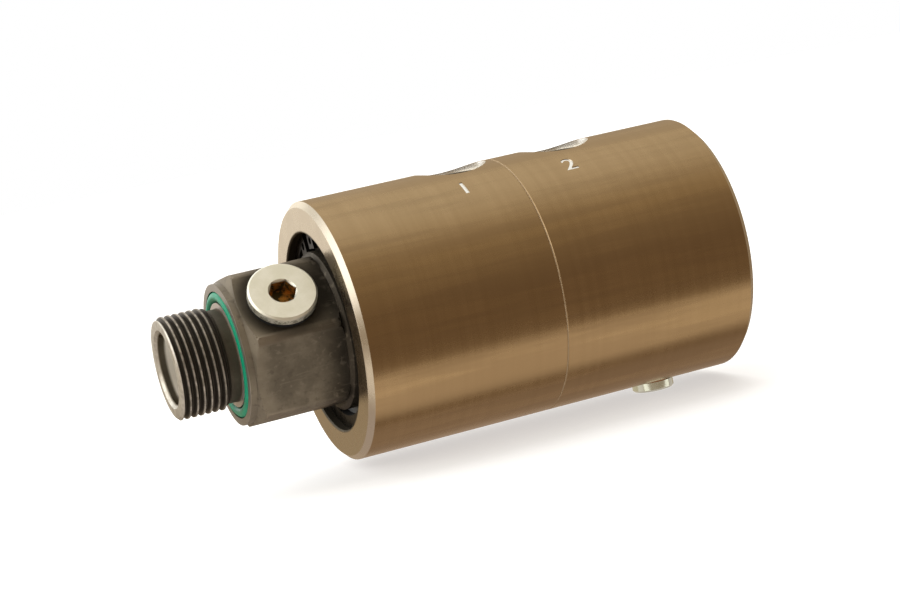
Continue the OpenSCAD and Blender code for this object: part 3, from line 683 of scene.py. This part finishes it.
def soften_hexagon(rotor):
    """Rounds the long edges between the hexagon's flats and its turned corners, as wear does."""
    select_only(rotor)
    bpy.ops.object.mode_set(mode="EDIT")
    bpy.ops.mesh.select_mode(type="EDGE")
    bpy.ops.mesh.select_all(action="DESELECT")
    bpy.ops.mesh.edges_select_sharp(sharpness=math.radians(12))
    bpy.ops.object.mode_set(mode="OBJECT")
    mesh = rotor.data
    for edge in mesh.edges:
        ends = [mesh.vertices[i].co for i in edge.vertices]
        on_corner = all(abs(math.hypot(end.y, end.z) - HEX_ROUND_R) < 0.05 * MM for end in ends)
        edge.select = edge.select and on_corner and abs(ends[0].x - ends[1].x) > 5 * MM
    bpy.ops.object.mode_set(mode="EDIT")
    bpy.ops.mesh.bevel(offset=HEX_EDGE_WEAR, segments=3, affect="EDGES")
    bpy.ops.object.mode_set(mode="OBJECT")


def threaded_rotor():
    """The rotor with its pipe thread cut into the spigot."""
    rotor = working_copy("rotor", "threaded_rotor")
    soften_hexagon(rotor)
    wide_r = THREAD_R + 0.3 * MM
    root_r = THREAD_R - SPIGOT_THREAD_DEPTH
    cutter = thread_cutter(
        "spigot_thread", wide_r, root_r, SPIGOT_ROOT_W, SPIGOT_PITCH, SPIGOT_TURNS, steps=72
    )
    cutter.location.x = SPIGOT_TIP_X - SPIGOT_THREAD_LEAD
    settle(cutter)
    cut_away(rotor, [cutter])
    finish_piece(rotor, "rotor", "phosphated_steel", "rotor", crease=12)


def port_thread_cutter(x):
    """The thread of one port, which rises from its lowest turn."""
    wide_r = PORT_CORE_R - 0.2 * MM
    root_r = PORT_CORE_R + PORT_THREAD_DEPTH
    cutter = thread_cutter(
        "port_thread", wide_r, root_r, PORT_ROOT_W, PORT_PITCH, PORT_TURNS, steps=56
    )
    cutter.rotation_euler = (0, math.radians(-90), 0)
    cutter.location = (x, 0, PORT_THREAD_TOP_Z - PORT_THREAD_REACH)
    settle(cutter)
    return cutter


def numeral_cutter(figure, x):
    """A figure that stands in the housing's surface beside a port and reads along it."""
    half_height = 1 * MM
    bpy.ops.object.select_all(action="DESELECT")
    bpy.ops.object.text_add()
    text = bpy.context.object
    text.name = "numeral_" + figure
    text.data.body = figure
    text.data.size = NUMERAL_H / 0.7
    text.data.align_x = "CENTER"
    text.data.align_y = "CENTER"
    text.data.extrude = half_height
    text.data.offset = NUMERAL_BOLD
    bpy.ops.object.convert(target="MESH")
    turn = math.radians(NUMERAL_TURN)
    middle_r = HOUSING_R - NUMERAL_DEPTH + half_height
    text.location = (x, -math.sin(turn) * middle_r, math.cos(turn) * middle_r)
    text.rotation_euler = (turn, 0, 0)
    settle(text)
    merge_points(text, 0.002 * MM)
    face_outwards(text)
    return text


def engraved_housing():
    """The housing with threads in its ports and a numeral engraved beside each."""
    housing = working_copy("housing", "engraved_housing")
    cutters = []
    for figure, x in zip("12", PORT_X):
        cutters += [port_thread_cutter(x), numeral_cutter(figure, x + NUMERAL_SHIFT)]
    cut_away(housing, cutters)
    finish_piece(housing, "housing", "burnished_steel", "housing", crease=25)


def camera_at_the_photo():
    """A long lens slightly above the rotor axis, tilted to one side."""
    camera = bpy.data.cameras.new("camera")
    camera.sensor_width = 36.0
    camera.lens = 94.09
    camera.clip_start = 0.01
    camera.clip_end = 20.0
    holder = bpy.data.objects.new("camera", camera)
    holder.location = Vector((-173.44, -722.63, 82.94)) * MM
    holder.rotation_euler = [math.radians(a) for a in (83.704, 11.47, -20.369)]
    bpy.context.scene.collection.objects.link(holder)
    bpy.context.scene.camera = holder


def studio():
    """A room that is warm and dark low in front, bright above and on one side, white to the camera."""
    scene = bpy.context.scene
    scene.view_settings.view_transform = "Standard"
    scene.view_settings.look = "None"
    world = bpy.data.worlds.new("studio")
    world.use_nodes = True
    scene.world = world
    tree = Tree(world)
    x, y, z = tree.parts(tree.add("ShaderNodeTexCoord", outlet="Generated"))
    towards_light = z * 0.95 + y * 0.45 - x * 0.2
    colour = tree.mix(tree.step(towards_light, -0.57, 1.03), (0.31, 0.225, 0.15), (0.72, 0.6, 0.42))
    colour = tree.mix(tree.step(towards_light, 0.35, 1.2), colour, (1.2, 1.2, 1.16))
    side_light = tree.step(x, -0.45, -0.8) * tree.step(z, 0.0, 0.45)
    colour = tree.mix(side_light, colour, (2.5, 2.45, 2.35))
    room = tree.nodes["Background"]
    tree.feed(room, {"Color": colour})
    white = tree.add("ShaderNodeBackground", inputs={"Color": (1.0, 1.0, 1.0), "Strength": 1.0})
    seen = tree.add("ShaderNodeLightPath", outlet="Is Camera Ray")
    both = tree.add("ShaderNodeMixShader", inputs={0: seen, 1: Wire(tree, room.outputs[0]), 2: white})
    tree.feed(tree.nodes["World Output"], {"Surface": both})


def pale_floor():
    """A wide round floor under the leak plug. It isn't mirrored and throws no shadow."""
    bpy.ops.object.select_all(action="DESELECT")
    bpy.ops.mesh.primitive_circle_add(
        vertices=128, radius=3.0, fill_type="NGON", location=(STUDIO_X, 0, FLOOR_Z)
    )
    floor = bpy.context.object
    floor.name = "floor"
    settle(floor)
    material, tree, shader = new_finish("pale_floor")
    tree.feed(shader, {
        "Base Color": (0.5, 0.5, 0.5),
        "Roughness": 1.0,
        "Specular IOR Level": 0.0,
        "Emission Color": (1.0, 1.0, 1.0),
        "Emission Strength": 0.55,
    })
    dress(floor, material)
    floor.visible_glossy = False
    floor.visible_shadow = False


def add_light(name, light, place, target, reflected):
    """Aims a light that the camera doesn't see, and that gloss shows only if it is reflected."""
    holder = bpy.data.objects.new(name, light)
    holder.location = place
    holder.rotation_euler = (Vector(target) - Vector(place)).to_track_quat("-Z", "Y").to_euler()
    holder.visible_camera = False
    holder.visible_glossy = reflected
    bpy.context.scene.collection.objects.link(holder)


def overhead_sun():
    """Wide soft light from above that whitens the floor and isn't reflected."""
    light = bpy.data.lights.new("overhead", "SUN")
    light.energy = 3.0
    light.angle = math.radians(85)
    add_light("overhead", light, (-0.1, 0.75, 1.0), (0.0, 0.0, 0.0), reflected=False)


def soft_panel(name, place, target, width, height, brightness, colour):
    """A rectangular lamp that looks as bright at any size, and shows in reflections."""
    light = bpy.data.lights.new(name, "AREA")
    light.shape = "RECTANGLE"
    light.size = width
    light.size_y = height
    light.energy = 4 * width * height * brightness
    light.color = colour
    add_light(name, light, place, target, reflected=True)


def strip_below(name, y, width, brightness, colour):
    """A strip of light below the floor, along the housing, that shines straight up."""
    place = (STUDIO_X, y, FLOOR_Z - 0.02)
    soft_panel(name, place, (STUDIO_X, y, 0.0), 0.6, width, brightness, colour)


camera_at_the_photo()
threaded_rotor()
engraved_housing()
studio()
pale_floor()
overhead_sun()
strip_below("low_strip", -0.066, 0.06, 0.57, (1.0, 0.95, 0.85))
strip_below("under_strip", 0.017, 0.086, 0.18, (0.97, 0.93, 1.0))
soft_panel("back_card", (-0.07, 0.2, 0.075), (-0.07, 0.0, 0.075), 0.3, 0.16, 0.8, (0.82, 0.9, 1.0))
